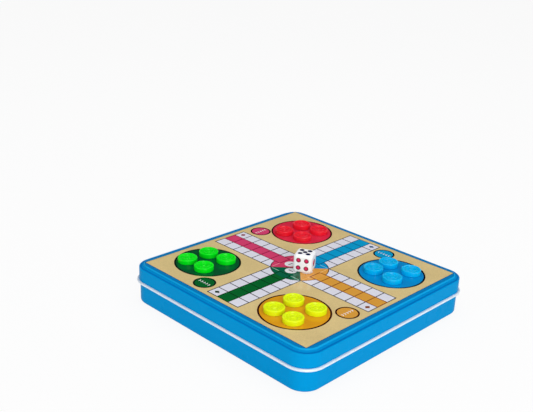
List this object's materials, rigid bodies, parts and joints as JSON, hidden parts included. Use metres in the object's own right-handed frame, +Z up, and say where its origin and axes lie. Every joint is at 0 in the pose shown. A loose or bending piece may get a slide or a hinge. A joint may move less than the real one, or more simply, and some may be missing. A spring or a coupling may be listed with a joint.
{
  "type": "folding ludo board box",
  "caption": "Hinged tinplate game box whose printed lid is a ludo board, with magnetic counters standing in the home circles and dice.",
  "frame": {"origin": "bottom centre of the closed box, on the surface that it stands on", "axes": "+Z up through the board, hinge of the lid at +Y, front of the box at -Y"},
  "size_m": [0.1996, 0.1996, 0.0485],
  "materials": {
    "tin_base": "glossy blue lacquer on tinplate",
    "tin_lid": "glossy blue lacquer and printed board on tinplate, rolled edge bright",
    "steel": "bright tinned steel",
    "green_plastic": "glossy bright green moulded plastic",
    "yellow_plastic": "glossy bright yellow moulded plastic",
    "blue_plastic": "glossy sky blue moulded plastic",
    "red_plastic": "glossy red moulded plastic",
    "magnet": "bare dark ferrite",
    "dice_plastic": "polished white plastic with painted pips"
  },
  "bodies": {
    "base": {"tin_base": "tin_base", "hinge_strap_left": "steel", "hinge_strap_right": "steel"},
    "lid": {"tin_lid": "tin_lid", "hinge_wire": "steel"},
    "counter_green_1": {"counter_green_1": "green_plastic", "magnet_green_1": "magnet"},
    "counter_green_2": {"counter_green_2": "green_plastic", "magnet_green_2": "magnet"},
    "counter_green_3": {"counter_green_3": "green_plastic", "magnet_green_3": "magnet"},
    "counter_green_4": {"counter_green_4": "green_plastic", "magnet_green_4": "magnet"},
    "counter_yellow_1": {"counter_yellow_1": "yellow_plastic", "magnet_yellow_1": "magnet"},
    "counter_yellow_2": {"counter_yellow_2": "yellow_plastic", "magnet_yellow_2": "magnet"},
    "counter_yellow_3": {"counter_yellow_3": "yellow_plastic", "magnet_yellow_3": "magnet"},
    "counter_yellow_4": {"counter_yellow_4": "yellow_plastic", "magnet_yellow_4": "magnet"},
    "counter_blue_1": {"counter_blue_1": "blue_plastic", "magnet_blue_1": "magnet"},
    "counter_blue_2": {"counter_blue_2": "blue_plastic", "magnet_blue_2": "magnet"},
    "counter_blue_3": {"counter_blue_3": "blue_plastic", "magnet_blue_3": "magnet"},
    "counter_blue_4": {"counter_blue_4": "blue_plastic", "magnet_blue_4": "magnet"},
    "counter_red_1": {"counter_red_1": "red_plastic", "magnet_red_1": "magnet"},
    "counter_red_2": {"counter_red_2": "red_plastic", "magnet_red_2": "magnet"},
    "counter_red_3": {"counter_red_3": "red_plastic", "magnet_red_3": "magnet"},
    "counter_red_4": {"counter_red_4": "red_plastic", "magnet_red_4": "magnet"},
    "die_on_board": {"die_on_board": "dice_plastic"},
    "die_in_tin": {"die_in_tin": "dice_plastic"}
  },
  "joints": [
    {"name": "box_lid_hinge", "type": "hinge", "parent": "base", "child": "lid", "pos_m": [0, 0.09875, 0.019], "axis": [-1, 0, 0], "range_deg": [0, 110]},
    {"name": "counter_green_1_lift", "type": "slide", "parent": "lid", "child": "counter_green_1", "axis": [0, 0, 1], "range_m": [0, 0.02]},
    {"name": "counter_green_2_lift", "type": "slide", "parent": "lid", "child": "counter_green_2", "axis": [0, 0, 1], "range_m": [0, 0.02]},
    {"name": "counter_green_3_lift", "type": "slide", "parent": "lid", "child": "counter_green_3", "axis": [0, 0, 1], "range_m": [0, 0.02]},
    {"name": "counter_green_4_lift", "type": "slide", "parent": "lid", "child": "counter_green_4", "axis": [0, 0, 1], "range_m": [0, 0.02]},
    {"name": "counter_yellow_1_lift", "type": "slide", "parent": "lid", "child": "counter_yellow_1", "axis": [0, 0, 1], "range_m": [0, 0.02]},
    {"name": "counter_yellow_2_lift", "type": "slide", "parent": "lid", "child": "counter_yellow_2", "axis": [0, 0, 1], "range_m": [0, 0.02]},
    {"name": "counter_yellow_3_lift", "type": "slide", "parent": "lid", "child": "counter_yellow_3", "axis": [0, 0, 1], "range_m": [0, 0.02]},
    {"name": "counter_yellow_4_lift", "type": "slide", "parent": "lid", "child": "counter_yellow_4", "axis": [0, 0, 1], "range_m": [0, 0.02]},
    {"name": "counter_blue_1_lift", "type": "slide", "parent": "lid", "child": "counter_blue_1", "axis": [0, 0, 1], "range_m": [0, 0.02]},
    {"name": "counter_blue_2_lift", "type": "slide", "parent": "lid", "child": "counter_blue_2", "axis": [0, 0, 1], "range_m": [0, 0.02]},
    {"name": "counter_blue_3_lift", "type": "slide", "parent": "lid", "child": "counter_blue_3", "axis": [0, 0, 1], "range_m": [0, 0.02]},
    {"name": "counter_blue_4_lift", "type": "slide", "parent": "lid", "child": "counter_blue_4", "axis": [0, 0, 1], "range_m": [0, 0.02]},
    {"name": "counter_red_1_lift", "type": "slide", "parent": "lid", "child": "counter_red_1", "axis": [0, 0, 1], "range_m": [0, 0.02]},
    {"name": "counter_red_2_lift", "type": "slide", "parent": "lid", "child": "counter_red_2", "axis": [0, 0, 1], "range_m": [0, 0.02]},
    {"name": "counter_red_3_lift", "type": "slide", "parent": "lid", "child": "counter_red_3", "axis": [0, 0, 1], "range_m": [0, 0.02]},
    {"name": "counter_red_4_lift", "type": "slide", "parent": "lid", "child": "counter_red_4", "axis": [0, 0, 1], "range_m": [0, 0.02]},
    {"name": "die_on_board_lift", "type": "slide", "parent": "lid", "child": "die_on_board", "axis": [0, 0, 1], "range_m": [0, 0.02]},
    {"name": "die_in_tin_lift", "type": "slide", "parent": "base", "child": "die_in_tin", "axis": [0, 0, 1], "range_m": [0, 0.012]}
  ]
}
